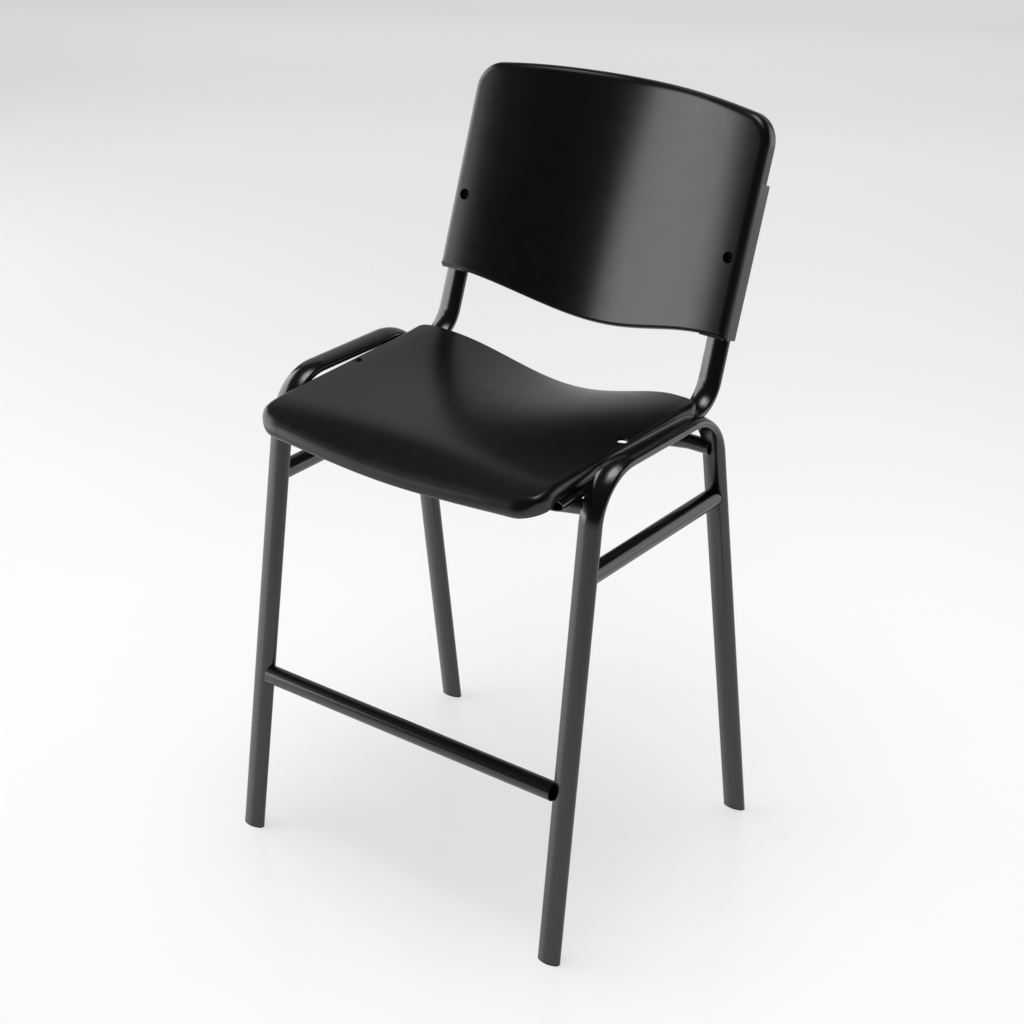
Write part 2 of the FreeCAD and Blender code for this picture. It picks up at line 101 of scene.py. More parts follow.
def ramp(nt, fac, stops):
    r = nt.nodes.new("ShaderNodeValToRGB")
    e = r.color_ramp.elements
    e[0].position, e[0].color = stops[0][0], (*stops[0][1], 1.0)
    e[1].position, e[1].color = stops[-1][0], (*stops[-1][1], 1.0)
    for p, c in stops[1:-1]:
        q = e.new(p)
        q.color = (*c, 1.0)
    nt.links.new(fac, r.inputs["Fac"])
    return r.outputs["Color"]


def span(nt, fac, lo, hi):
    m = nt.nodes.new("ShaderNodeMapRange")
    m.inputs["From Min"].default_value = 0.25
    m.inputs["From Max"].default_value = 0.75
    m.inputs["To Min"].default_value = lo
    m.inputs["To Max"].default_value = hi
    nt.links.new(fac, m.inputs["Value"])
    return m.outputs["Result"]


def bump(nt, height, strength, distance, below=None):
    b = nt.nodes.new("ShaderNodeBump")
    b.inputs["Strength"].default_value = strength
    b.inputs["Distance"].default_value = distance
    nt.links.new(height, b.inputs["Height"])
    if below is not None:
        nt.links.new(below, b.inputs["Normal"])
    return b.outputs["Normal"]


def powder_coat(name, dark, light, r_lo, r_hi):
    """Satin powder coat: soft orange peel with a fine grain on top."""
    m, nt, b = material(name)
    co = coords(nt)
    patch = noise(nt, co, 14.0, 3.0)
    grain = noise(nt, co, 2400.0, 2.0)
    peel = noise(nt, co, 520.0, 2.0, 0.4)
    nt.links.new(ramp(nt, patch, [(0.3, dark), (0.7, light)]), b.inputs["Base Color"])
    nt.links.new(span(nt, peel, r_lo, r_hi), b.inputs["Roughness"])
    n = bump(nt, peel, 0.12, 0.00025)
    nt.links.new(bump(nt, grain, 0.06, 0.00008, n), b.inputs["Normal"])
    b.inputs["Specular IOR Level"].default_value = 0.76
    b.inputs["IOR"].default_value = 1.5
    return m


def moulded(name, dark, light, r_lo, r_hi, grain_bump):
    """Satin moulded plastic: a fine even mould grain, slightly uneven gloss."""
    m, nt, b = material(name)
    co = coords(nt)
    patch = noise(nt, co, 9.0, 2.0)
    grain = noise(nt, co, 1500.0, 3.0, 0.6)
    gloss = noise(nt, co, 40.0, 2.0)
    nt.links.new(ramp(nt, patch, [(0.3, dark), (0.7, light)]), b.inputs["Base Color"])
    nt.links.new(span(nt, gloss, r_lo, r_hi), b.inputs["Roughness"])
    nt.links.new(bump(nt, grain, grain_bump, 0.0001), b.inputs["Normal"])
    b.inputs["Specular IOR Level"].default_value = 0.5
    b.inputs["IOR"].default_value = 1.5
    return m


def steel(name, dark, light, r_lo, r_hi):
    m, nt, b = material(name)
    co = coords(nt)
    turn = noise(nt, co, 900.0, 4.0)
    nt.links.new(ramp(nt, turn, [(0.3, dark), (0.7, light)]), b.inputs["Base Color"])
    nt.links.new(span(nt, turn, r_lo, r_hi), b.inputs["Roughness"])
    nt.links.new(bump(nt, turn, 0.1, 0.00005), b.inputs["Normal"])
    b.inputs["Metallic"].default_value = 1.0
    return m


paint = powder_coat("frame_paint", (0.0040, 0.0040, 0.0042), (0.0056, 0.0056, 0.0058), 0.16, 0.21)
plastic = moulded("shell_plastic", (0.0018, 0.0018, 0.0019), (0.0025, 0.0025, 0.0026), 0.27, 0.31, 0.028)
plug = moulded("plug_plastic", (0.010, 0.010, 0.0105), (0.014, 0.014, 0.0145), 0.5, 0.6, 0.12)
oxide = steel("screw_steel", (0.009, 0.009, 0.0095), (0.018, 0.018, 0.019), 0.42, 0.56)
zinc = steel("insert_steel", (0.45, 0.45, 0.46), (0.58, 0.58, 0.60), 0.25, 0.36)

slot_material = {"frame_paint": paint, "shell_plastic": plastic, "plug_plastic": plug, "screw_steel": oxide, "insert_steel": zinc}
for sub in frame["record"]["subparts"]:
    o = nodes[sub["node"]]
    o.data.materials.clear()
    o.data.materials.append(slot_material[sub["material_slot"]])


# ---------------------------------------------------------------- mesh helpers
def new_object(name, verts, faces, mat, sharp=38.0, ride=True):
    """verts in millimetres from the middle of the feet."""
    me = bpy.data.meshes.new(name)
    me.from_pydata([(x * MM, (y - Y0) * MM, z * MM) for x, y, z in verts], [], faces)
    me.validate()
    bm = bmesh.new()
    bm.from_mesh(me)
    bmesh.ops.remove_doubles(bm, verts=bm.verts, dist=1e-7)
    bmesh.ops.recalc_face_normals(bm, faces=bm.faces)
    bm.to_mesh(me)
    bm.free()
    o = bpy.data.objects.new(name, me)
    scene.collection.objects.link(o)
    finish_shading(o, sharp)
    me.materials.append(mat)
    if ride:
        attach(o, "root")
    return o


def finish_shading(o, sharp):
    o.data.shade_smooth()
    o.data.set_sharp_from_angle(angle=math.radians(sharp))


def boolean(target, tool, how):
    mod = target.modifiers.new("b", "BOOLEAN")
    mod.operation = how
    mod.solver = "EXACT"
    mod.object = tool
    bpy.context.view_layer.update()
    dg = bpy.context.evaluated_depsgraph_get()
    me = bpy.data.meshes.new_from_object(target.evaluated_get(dg))
    target.modifiers.clear()
    old = target.data
    target.data = me
    bpy.data.meshes.remove(old)
    bpy.data.objects.remove(tool)


def bell(x, half):
    return math.cos(math.pi * x / (2.0 * half)) ** 2 if abs(x) < half else 0.0


def arc3(p0, p1, p2, n):
    """n + 1 points on the arc through three points."""
    ax, ay = p0
    bx, by = p1
    cx, cy = p2
    d = 2.0 * (ax * (by - cy) + bx * (cy - ay) + cx * (ay - by))
    ux = ((ax * ax + ay * ay) * (by - cy) + (bx * bx + by * by) * (cy - ay) + (cx * cx + cy * cy) * (ay - by)) / d
    uy = ((ax * ax + ay * ay) * (cx - bx) + (bx * bx + by * by) * (ax - cx) + (cx * cx + cy * cy) * (bx - ax)) / d
    r = math.hypot(ax - ux, ay - uy)
    t0 = math.atan2(ay - uy, ax - ux)
    t1 = math.atan2(by - uy, bx - ux)
    t2 = math.atan2(cy - uy, cx - ux)
    def fwd(a, b):
        return (b - a) % (2.0 * math.pi)
    if fwd(t0, t1) <= fwd(t0, t2):
        sweep = fwd(t0, t2)
    else:
        sweep = -fwd(t2, t0)
    return [(ux + r * math.cos(t0 + sweep * k / n), uy + r * math.sin(t0 + sweep * k / n)) for k in range(n + 1)]


def line(p0, p1, n):
    return [(p0[0] + (p1[0] - p0[0]) * k / n, p0[1] + (p1[1] - p0[1]) * k / n) for k in range(n + 1)]


def arc_mid(p0, p1, corner, k):
    mx, my = (p0[0] + p1[0]) / 2.0, (p0[1] + p1[1]) / 2.0
    return (mx + (corner[0] - mx) * k, my + (corner[1] - my) * k)


def even(pts, step):
    """Closed polyline resampled at an even spacing."""
    out = []
    n = len(pts)
    lens = [math.dist(pts[i], pts[(i + 1) % n]) for i in range(n)]
    total = sum(lens)
    count = int(round(total / step))
    i, done = 0, 0.0
    for k in range(count):
        s = total * k / count
        while done + lens[i] < s:
            done += lens[i]
            i += 1
        f = (s - done) / lens[i] if lens[i] else 0.0
        a, b = pts[i], pts[(i + 1) % n]
        out.append((a[0] + (b[0] - a[0]) * f, a[1] + (b[1] - a[1]) * f))
    return out


def soften(pts, half):
    """Running mean over a closed, evenly spaced polyline."""
    n = len(pts)
    out = []
    for i in range(n):
        sx = sy = 0.0
        for k in range(-half, half + 1):
            p = pts[(i + k) % n]
            sx += p[0]
            sy += p[1]
        out.append((sx / (2 * half + 1), sy / (2 * half + 1)))
    return out


class Outline:
    """A closed outline cut into four sides at given corner points, with outward normals."""

    def __init__(self, pts, corners):
        area = sum(pts[i][0] * pts[(i + 1) % len(pts)][1] - pts[(i + 1) % len(pts)][0] * pts[i][1] for i in range(len(pts)))
        if area < 0:
            pts = pts[::-1]
        self.p = pts
        n = len(pts)
        self.n = []
        for i in range(n):
            dx = pts[(i + 2) % n][0] - pts[i - 2][0]
            dy = pts[(i + 2) % n][1] - pts[i - 2][1]
            l = math.hypot(dx, dy)
            self.n.append((dy / l, -dx / l))
        idx = [min(range(n), key=lambda i: math.dist(pts[i], c)) for c in corners]
        self.sides = []
        for k in range(4):
            a, b = idx[k], idx[(k + 1) % 4]
            if b <= a:
                b += n
            self.sides.append((a, b))

    def spot(self, side, s):
        a, b = self.sides[side]
        q = a + (b - a) * s
        i = int(math.floor(q))
        f = q - i
        n = len(self.p)
        p0, p1 = self.p[i % n], self.p[(i + 1) % n]
        n0, n1 = self.n[i % n], self.n[(i + 1) % n]
        return (p0[0] + (p1[0] - p0[0]) * f, p0[1] + (p1[1] - p0[1]) * f), (n0[0] + (n1[0] - n0[0]) * f, n0[1] + (n1[1] - n0[1]) * f)

    def at(self, side, s, inset):
        p, n = self.spot(side, s)
        return (p[0] - inset * n[0], p[1] - inset * n[1])

    def normal(self, side, s):
        return self.spot(side, s)[1]


class Family:
    """Outlines of one shape at several insets, each made by make(inset)."""

    def __init__(self, make):
        self.make = make
        self.made = {}

    def step(self, k):
        if k not in self.made:
            self.made[k] = self.make(k * 0.5)
        return self.made[k]

    def at(self, side, s, inset):
        k = int(math.floor(inset * 2.0 + 1e-9))
        f = inset * 2.0 - k
        p, q = self.step(k).at(side, s, 0.0), self.step(k + 1).at(side, s, 0.0)
        return (p[0] + (q[0] - p[0]) * f, p[1] + (q[1] - p[1]) * f)

    def normal(self, side, s):
        return self.step(0).normal(side, s)


def shell(outline, count, centre, top_inset, low_inset, rings, top, low):
    """Closed dished shell over an outline.  A square grid of count cells a side is
    pressed into the outline; rings lists (inset, height) between the upper and the
    lower face, where an inset is a function of the outline's normal and a height one
    of the point and that normal.  top and low give the third coordinate."""
    verts, faces = [], []

    def grid_point(i, j, inset):
        u, v = 2.0 * i / count - 1.0, 2.0 * j / count - 1.0
        r = max(abs(u), abs(v))
        if r < 1e-9:
            return centre
        if -v >= r - 1e-12:
            side, s = 0, (u / r + 1.0) / 2.0
        elif u >= r - 1e-12:
            side, s = 1, (v / r + 1.0) / 2.0
        elif v >= r - 1e-12:
            side, s = 2, (1.0 - u / r) / 2.0
        else:
            side, s = 3, (1.0 - v / r) / 2.0
        q = outline.at(side, s, inset(outline.normal(side, s)))
        return (centre[0] + r * (q[0] - centre[0]), centre[1] + r * (q[1] - centre[1]))

    def grid(inset, height, flip):
        base = len(verts)
        for j in range(count + 1):
            for i in range(count + 1):
                x, y = grid_point(i, j, inset)
                verts.append((x, y, height(x, y)))
        for j in range(count):
            for i in range(count):
                a = base + j * (count + 1) + i
                f = (a, a + 1, a + count + 2, a + count + 1)
                faces.append(f[::-1] if flip else f)
        edge = [base + i for i in range(count)]
        edge += [base + j * (count + 1) + count for j in range(count)]
        edge += [base + count * (count + 1) + count - i for i in range(count)]
        edge += [base + (count - j) * (count + 1) for j in range(count)]
        return edge

    last = grid(top_inset, top, False)
    for inset, height in rings:
        base = len(verts)
        ring = []
        for side in range(4):
            for k in range(count):
                n = outline.normal(side, k / count)
                x, y = outline.at(side, k / count, inset(n))
                verts.append((x, y, height(x, y, n)))
                ring.append(base + side * count + k)
        m = len(ring)
        for k in range(m):
            faces.append((last[k], ring[k], ring[(k + 1) % m], last[(k + 1) % m]))
        last = ring
    end = grid(low_inset, low, True)
    m = len(end)
    for k in range(m):
        faces.append((last[k], end[k], end[(k + 1) % m], last[(k + 1) % m]))
    return verts, faces


# ------------------------------------------------------------------ seat shell
CENTRE_LINE = [(-240, 606.2), (-221, 620.0), (-200, 630.3), (-175, 640.3), (-150, 644.3), (-120, 644.2), (-80, 642.7), (-40, 639.8), (0, 635.9), (40, 630.9), (80, 624.7), (110, 619.2), (140, 612.5), (171, 602.7), (195, 591.5)]


def centre_z(y):
    """Height of the seat's middle line: a smooth cubic through its points."""
    p = CENTRE_LINE
    y = max(p[0][0], min(p[-1][0], y))
    i = max(k for k in range(len(p) - 1) if p[k][0] <= y)

    def slope(k):
        lo, hi = max(0, k - 1), min(len(p) - 1, k + 1)
        return (p[hi][1] - p[lo][1]) / (p[hi][0] - p[lo][0])

    (y0, z0), (y1, z1) = p[i], p[i + 1]
    w = y1 - y0
    t = (y - y0) / w
    return ((2 * t ** 3 - 3 * t ** 2 + 1) * z0 + (t ** 3 - 2 * t ** 2 + t) * w * slope(i)
            + (3 * t ** 2 - 2 * t ** 3) * z1 + (t ** 3 - t ** 2) * w * slope(i + 1))


def smooth_centre(y):
    s = w = 0.0
    for i in range(-8, 9):
        k = math.cos(math.pi * i / 18.0) ** 2
        s += k * centre_z(y + i * 3.0)
        w += k
    return s / w


def side_z(y):
    z = SEAT_SIDE_Z + SEAT_SLOPE * y
    if y < -155.0:
        z -= 13.0 * ((-155.0 - y) / 65.0) ** 2.2
    return z


def dish(x):
    return math.cos(math.pi * x / (2.0 * SEAT_BELL)) ** SEAT_BELL_POWER if abs(x) < SEAT_BELL else 0.0


def seat_z(x, y):
    return side_z(y) - (side_z(y) - smooth_centre(y)) * dish(x)


def ease(t):
    t = max(0.0, min(1.0, t))
    return t * t * (3.0 - 2.0 * t)


def skirt(x, y):
    """Depth of the seat's skirt: deeper round the front, most of all at its corners."""
    return SEAT_SKIRT + SEAT_SKIRT_FRONT * ease((-125.0 - y) / 50.0) + SEAT_SKIRT_CORNER * (1.0 - dish(x)) * ease((-165.0 - y) / 25.0)


def seat_plan():
    a = (186.0, SEAT_FRONT_Y + 3.7)
    b = (225.8, -174.0)
    c = (229.6, 105.0)
    d = (204.0, 134.5)
    fm = (216.0, -206.2)
    rm = (224.5, 129.5)
    neg = lambda p: (-p[0], p[1])
    pts = []
    for seg in (arc3(neg(a), (0, SEAT_FRONT_Y), a, 200), arc3(a, fm, b, 60), line(b, c, 150), arc3(c, rm, d, 40),
                arc3(d, (0, SEAT_REAR_Y), neg(d), 200), arc3(neg(c), neg(rm), neg(d), 40)[::-1], line(neg(c), neg(b), 150), arc3(neg(b), neg(fm), neg(a), 60)):
        pts += seg[:-1]
    return Outline(soften(soften(even(pts, 1.0), 7), 5), [neg(fm), fm, rm, neg(rm)])


plan = seat_plan()


def edge_r(n):
    """Radius of the seat's upper edge: large along the front and the sides, smaller at the front corners and the rear."""
    corner = ease((-n[1] - 0.15) / 0.4)
    front = ease((-n[1] - 0.62) / 0.36)
    return 10.5 - 2.5 * corner + 6.5 * front - 5.5 * ease(n[1] / 0.8)


def tuck(n):
    """How far the skirt's lower edge lies inside its widest line."""
    front = ease((-n[1] - 0.05) / 0.3)
    return 1.0 + front * (3.0 * n[1] * n[1] + 1.2 * (2.0 * n[0] * n[1]) ** 2)


rings = []
for k in range(1, 13):
    t = math.radians(90.0 * k / 12.0)
    rings.append((lambda n, c=1.0 - math.sin(t): edge_r(n) * c, lambda x, y, n, c=1.0 - math.cos(t): seat_z(x, y) - edge_r(n) * c))
for part in (0.25, 0.5, 0.75, 1.0):
    rings.append((lambda n, q=part: tuck(n) * q * q, lambda x, y, n, q=part: seat_z(x, y) - edge_r(n) - (skirt(x, y) - 1.0 - edge_r(n)) * q))
for less, inset in ((0.5, 0.13), (0.13, 0.5), (0.0, 1.0), (0.0, 1.6), (0.24, 2.15), (0.8, SEAT_RIM_T)):
    rings.append((lambda n, i=inset: tuck(n) + i, lambda x, y, n, q=less: seat_z(x, y) - skirt(x, y) + q))
for k in range(7):
    t = math.radians(90.0 * k / 6.0)
    rings.append((lambda n, c=1.0 - math.cos(t): SEAT_RIM_T + tuck(n) + (edge_r(n) - 1.5) * c,
                  lambda x, y, n, c=1.0 - math.sin(t): seat_z(x, y) - SEAT_WALL - (edge_r(n) - 1.5) * c))
verts, faces = shell(plan, 120, (0.0, -25.0), edge_r, lambda n: SEAT_RIM_T + tuck(n) + edge_r(n), rings, seat_z, lambda x, y: seat_z(x, y) - SEAT_WALL)
seat = new_object("seat", verts, faces, plastic)


def tube_of(name, centre, axis, radius, length, sides=48):
    """Closed round bar used to cut a hole; millimetres."""
    ax = Vector(axis).normalized()
    e1 = ax.orthogonal().normalized()
    e2 = ax.cross(e1)
    c = Vector(centre)
    v, f = [], []
    for h in (0.0, length):
        for k in range(sides):
            t = 2.0 * math.pi * k / sides
            v.append(tuple(c + ax * h + e1 * (radius * math.cos(t)) + e2 * (radius * math.sin(t))))
    for k in range(sides):
        f.append((k, (k + 1) % sides, sides + (k + 1) % sides, sides + k))
    f.append(tuple(range(sides))[::-1])
    f.append(tuple(range(sides, 2 * sides)))
    return new_object(name, v, f, plastic, ride=False)


for s in (1.0, -1.0):
    boolean(seat, tube_of("cut", (s * SEAT_HOLE[0], SEAT_HOLE[1], 620.0), (0, 0, 1), SEAT_HOLE_D / 2.0, 60.0), "DIFFERENCE")
finish_shading(seat, 38.0)
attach(seat, "root")
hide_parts("seat_shell")


# ribs and bosses between the seat and its supports
def support_z(y):
    return SUPPORT_Z + SUPPORT_SLOPE * y


def support_x(z):
    return SUPPORT_X - SUPPORT_LEAN * (z - SUPPORT_Z)


def oval_half(dx):
    """Half thickness of the oval tube at a distance from its middle."""
    a, b = TUBE_W / 2.0, TUBE_T / 2.0
    r = b - OVAL_K
    big = a + (a - b) ** 2 / (2.0 * OVAL_K)
    jx = (a - r) + r * (a - r) / (big - r)
    dx = abs(dx)
    if dx <= jx:
        return math.sqrt(big * big - dx * dx) - (big - b)
    return math.sqrt(max(0.0, r * r - (dx - (a - r)) ** 2))


def rib_top(x, y):
    """Top of a rib inside the seat's wall, falling with the rolled side edge."""
    edge = edge_r((1.0, 0.0))
    side = 225.8 + (229.6 - 225.8) * (y + 174.0) / 279.0
    over = min(edge, max(0.0, x - (side - edge)))
    return seat_z(x, y) - SEAT_WALL + 0.8 - (edge - math.sqrt(edge * edge - over * over))


def rib(x0, x1, y0, y1, n, along_y):
    """Upright rib on the support, with n steps along its length."""
    v, f = [], []
    for k in range(n + 1):
        q = k / n
        if along_y:
            ends = [(x0, y0 + (y1 - y0) * q), (x1, y0 + (y1 - y0) * q)]
        else:
            ends = [(x0 + (x1 - x0) * q, y0), (x0 + (x1 - x0) * q, y1)]
        for x, y in ends:
            v.append((x, y, support_z(y) + oval_half(x - SUPPORT_X) + 0.15))
            v.append((x, y, rib_top(x, y)))
    for k in range(n):
        a, b = 4 * k, 4 * k + 4
        f += [(a, a + 1, b + 1, b), (a + 2, b + 2, b + 3, a + 3), (a + 1, a + 3, b + 3, b + 1), (a, b, b + 2, a + 2)]
    f += [(0, 2, 3, 1), (4 * n, 4 * n + 1, 4 * n + 3, 4 * n + 2)]
    return v, f


def boss(x, y, radius, reach, hole, sides=48):
    """Round screw boss with a hole, cut off at the two ribs beside it."""
    v, f = [], []
    for k in range(sides):
        t = 2.0 * math.pi * k / sides
        for r in (min(radius, reach / max(1e-6, abs(math.cos(t)))), hole):
            px, py = x + r * math.cos(t), y + r * math.sin(t)
            v.append((px, py, support_z(py) + oval_half(px - SUPPORT_X) + 0.15))
            v.append((px, py, rib_top(px, py)))
    for k in range(sides):
        a, b = 4 * k, 4 * ((k + 1) % sides)
        f += [(a, b, b + 1, a + 1), (a + 1, b + 1, b + 3, a + 3), (a + 3, b + 3, b + 2, a + 2), (a + 2, b + 2, b, a)]
    return v, f


for side, s in (("right", 1.0), ("left", -1.0)):
    v, f = [], []
    for y0, y1, hole in ((-162.0, -70.0, -118.0), (40.0, 100.0, 84.0)):
        for part in (rib(206.5, 209.5, y0, y1, 16, True), rib(220.5, 223.5, y0, y1, 16, True),
                     rib(209.55, 220.45, y0, y0 + 3.0, 12, False), rib(209.55, 220.45, y1 - 3.0, y1, 12, False),
                     boss(215.0, hole, 7.5, 5.45, 2.6)):
            base = len(v)
            v += [(s * x, y, z) for x, y, z in part[0]]
            f += [tuple(base + i for i in q) for q in part[1]]
    new_object("seat_ribs_" + side, v, f, plastic)

# -------------------------------------------------------------- backrest shell
back_o = Vector((0.0, BACK_Y, BACK_Z))
back_v = Vector((0.0, math.sin(BACK_TILT), math.cos(BACK_TILT)))
back_n = Vector((0.0, -math.cos(BACK_TILT), math.sin(BACK_TILT)))


def back_world(p):
    return tuple(back_o + Vector((1, 0, 0)) * p[0] + back_v * p[1] + back_n * p[2])


def back_w(x):
    return -BACK_DEPTH * bell(x, BACK_BELL)


def back_rim(x):
    return BACK_RIM + (BACK_RIM_SIDE - BACK_RIM) * (1.0 - bell(x, BACK_BELL))


def back_plan(inset):
    h, r = BACK_HALF - inset, BACK_CORNER - inset
    side_top = BACK_TOP_V - BACK_CROWN - inset
    foot = BACK_BOTTOM_V + inset
    tl = (-h + r * 0.95, side_top + 2.6)
    sl = (-h, side_top - r)
    m = arc_mid(sl, tl, (-h, side_top + 0.5), 0.43)
    neg = lambda p: (-p[0], p[1])
    low = [(-h + 2.0 * h * k / 240.0, foot - BACK_BOTTOM_DIP * bell(-h + 2.0 * h * k / 240.0, BACK_BELL)) for k in range(241)]
    pts = []
    for seg in (low, line((h, foot), neg(sl), 120), arc3(neg(sl), neg(m), neg(tl), 40), arc3(neg(tl), (0, BACK_TOP_V - inset), tl, 200),
                arc3(tl, m, sl, 40), line(sl, (-h, foot), 120)):
        pts += seg[:-1]
    pts = soften(soften(even(pts, 1.0), 3), 3)
    return Outline(pts, [(-h, foot), (h, foot), neg(m), m])


bplan = Family(back_plan)


def roll(n):
    """Radius of the back's front edge: large along the top and the sides, small along the bottom."""
    return 10.5 - 4.5 * ease((-n[1] - 0.1) / 0.7)


rings = []
for k in range(1, 13):
    t = math.radians(90.0 * k / 12.0)
    rings.append((lambda n, c=1.0 - math.sin(t): roll(n) * c, lambda x, y, n, c=1.0 - math.cos(t): back_w(x) - roll(n) * c))
for part in (0.4, 0.8, 1.0):
    rings.append((lambda n: 0.0, lambda x, y, n, q=part: back_w(x) - roll(n) - (back_rim(x) - roll(n) - 1.0) * q))
for less, inset in ((0.5, 0.13), (0.13, 0.5), (0.0, 1.0), (0.0, 2.0), (0.13, 2.5), (0.5, 2.87), (1.0, 3.0), (4.0, 3.0)):
    rings.append((lambda n, i=inset: i, lambda x, y, n, q=less: back_w(x) - back_rim(x) + q))
for k in range(7):
    t = math.radians(90.0 * k / 6.0)
    rings.append((lambda n, c=1.0 - math.cos(t): 3.0 + (roll(n) - 3.0) * c,
                  lambda x, y, n, c=1.0 - math.sin(t): back_w(x) - BACK_WALL - (roll(n) - 3.0) * c))
verts, faces = shell(bplan, 120, (0.0, 40.0), roll, lambda n: roll(n) + 0.5, rings, lambda x, y: back_w(x), lambda x, y: back_w(x) - BACK_WALL)
back = new_object("backrest", [back_world(p) for p in verts], faces, plastic, ride=False)


def rounded(poly, radii, n=8):
    """Polygon with its corners rounded."""
    out = []
    m = len(poly)
    for i in range(m):
        p, r = Vector(poly[i]), radii[i]
        if r <= 0.0:
            out.append(tuple(p))
            continue
        a = (Vector(poly[i - 1]) - p).normalized()
        b = (Vector(poly[(i + 1) % m]) - p).normalized()
        half = math.acos(max(-1.0, min(1.0, a.dot(b)))) / 2.0
        d = r / math.tan(half)
        p0, p1 = p + a * d, p + b * d
        c = p + (a + b).normalized() * (r / math.sin(half))
        t0 = math.atan2(p0.y - c.y, p0.x - c.x)
        t1 = math.atan2(p1.y - c.y, p1.x - c.x)
        dt = (t1 - t0 + math.pi) % (2.0 * math.pi) - math.pi
        out += [(c.x + r * math.cos(t0 + dt * k / n), c.y + r * math.sin(t0 + dt * k / n)) for k in range(n + 1)]
    return out


def prism_v(name, poly, v0, v1, s, edge):
    """Bar along the back from v0 to v1 with section poly in (x, w); its ends have a small rounded edge."""
    cx = sum(p[0] for p in poly) / len(poly)
    cw = sum(p[1] for p in poly) / len(poly)
    m = len(poly)
    v, f = [], []
    ends = []
    for k in range(5):
        t = math.radians(90.0 * k / 4.0)
        ends.append((edge * (1.0 - math.sin(t)), edge * (1.0 - math.cos(t))))
    levels = [(v0 + e1, e0) for e0, e1 in ends] + [(v1 - e1, e0) for e0, e1 in ends[::-1]]
    for vv, inset in levels:
        for x, w in poly:
            dx, dw = x - cx, w - cw
            l = math.hypot(dx, dw)
            v.append(back_world((s * (x - dx / l * inset), vv, w - dw / l * inset)))
    for k in range(len(levels) - 1):
        for i in range(m):
            a, b = k * m + i, k * m + (i + 1) % m
            f.append((a, b, b + m, a + m))
    f.append(tuple(range(m))[::-1])
    f.append(tuple(range((len(levels) - 1) * m, len(levels) * m)))
    return new_object(name, v, f, plastic, ride=False)


def oval(n=16):
    a, b = TUBE_W / 2.0 + 0.2, TUBE_T / 2.0 + 0.2
    pts = []
    for k in range(4 * n):
        t = 2.0 * math.pi * k / (4 * n)
        x = a * math.cos(t)
        h = oval_half(min(abs(x), TUBE_W / 2.0)) + 0.2
        pts.append((x, math.copysign(h if abs(math.sin(t)) > 1e-9 else 0.0, math.sin(t))))
    return pts


section = rounded([(SLEEVE_IN, -3.0), (228.5, -3.0), (228.5, -9.0), (BACK_HALF + 0.04, -9.0), (BACK_HALF + 0.04, -SLEEVE_DEPTH), (SLEEVE_IN, -SLEEVE_DEPTH)],
                  [0.0, 0.0, 0.0, 0.0, 3.0, 4.0])
for s in (1.0, -1.0):
    boolean(back, prism_v("sleeve", section, SLEEVE_BOT_V, SLEEVE_TOP_V, s, 1.2), "UNION")
for s in (1.0, -1.0):
    lo, hi = [], []
    for z, out in ((660.0, lo), (818.5 + 94.6 * math.cos(BACK_TILT), hi)):
        y = UPRIGHT_Y + math.tan(BACK_TILT) * (z - UPRIGHT_Z)
        c = Vector((support_x(z), y, z))
        for x, w in oval():
            p = c + Vector((1, 0, 0)) * x + back_n * w
            out.append((s * p.x, p.y, p.z))
    m = len(lo)
    f = [(k, (k + 1) % m, m + (k + 1) % m, m + k) for k in range(m)] + [tuple(range(m))[::-1], tuple(range(m, 2 * m))]
    boolean(back, new_object("cut", lo + hi, f, plastic, ride=False), "DIFFERENCE")
for s in (1.0, -1.0):
    boolean(back, tube_of("cut", back_world((s * BACK_HOLE_X, 0.0, -8.6)), back_n, HOLE_D / 2.0, 30.0), "DIFFERENCE")
    boolean(back, tube_of("cut", back_world((s * BACK_HOLE_X, 0.0, -16.0)), back_n, 3.3, 30.0), "DIFFERENCE")
finish_shading(back, 38.0)
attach(back, "root")
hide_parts("backrest_shell")

# ----------------------------------------------------------------------- stage
# painted light: emission levels of the floor's glow across the view and away from the camera, and how the across part
# fades with distance
FLOOR_ACROSS = [(-1.2, 0.020), (-0.6, 0.045), (0.0, 0.065), (0.6, 0.150), (1.2, 0.145)]
FLOOR_AWAY = [(-0.7, 0.515), (-0.2, 0.465), (0.4, 0.472), (1.2, 0.405), (2.4, 0.350), (4.0, 0.550), (5.0, 0.605)]
FLOOR_FADE = [(1.2, 1.0), (2.2, 1.0), (3.3, 0.5), (4.1, 0.15), (5.0, 0.15)]
me = bpy.data.meshes.new("floor")
S = 14.0
me.from_pydata([(-S, -S, 0), (S, -S, 0), (S, S, 0), (-S, S, 0)], [], [(0, 1, 2, 3)])
floor = bpy.data.objects.new("floor", me)
scene.collection.objects.link(floor)
m, nt, b = material("floor")
co = coords(nt)


def along(direction, lo, hi):
    """Place along a level direction, 0 at lo metres and 1 at hi metres."""
    d = nt.nodes.new("ShaderNodeVectorMath")
    d.operation = "DOT_PRODUCT"
    d.inputs[1].default_value = direction
    nt.links.new(co, d.inputs[0])
    r = nt.nodes.new("ShaderNodeMapRange")
    r.inputs["From Min"].default_value = lo
    r.inputs["From Max"].default_value = hi
    nt.links.new(d.outputs["Value"], r.inputs["Value"])
    return r.outputs["Result"]
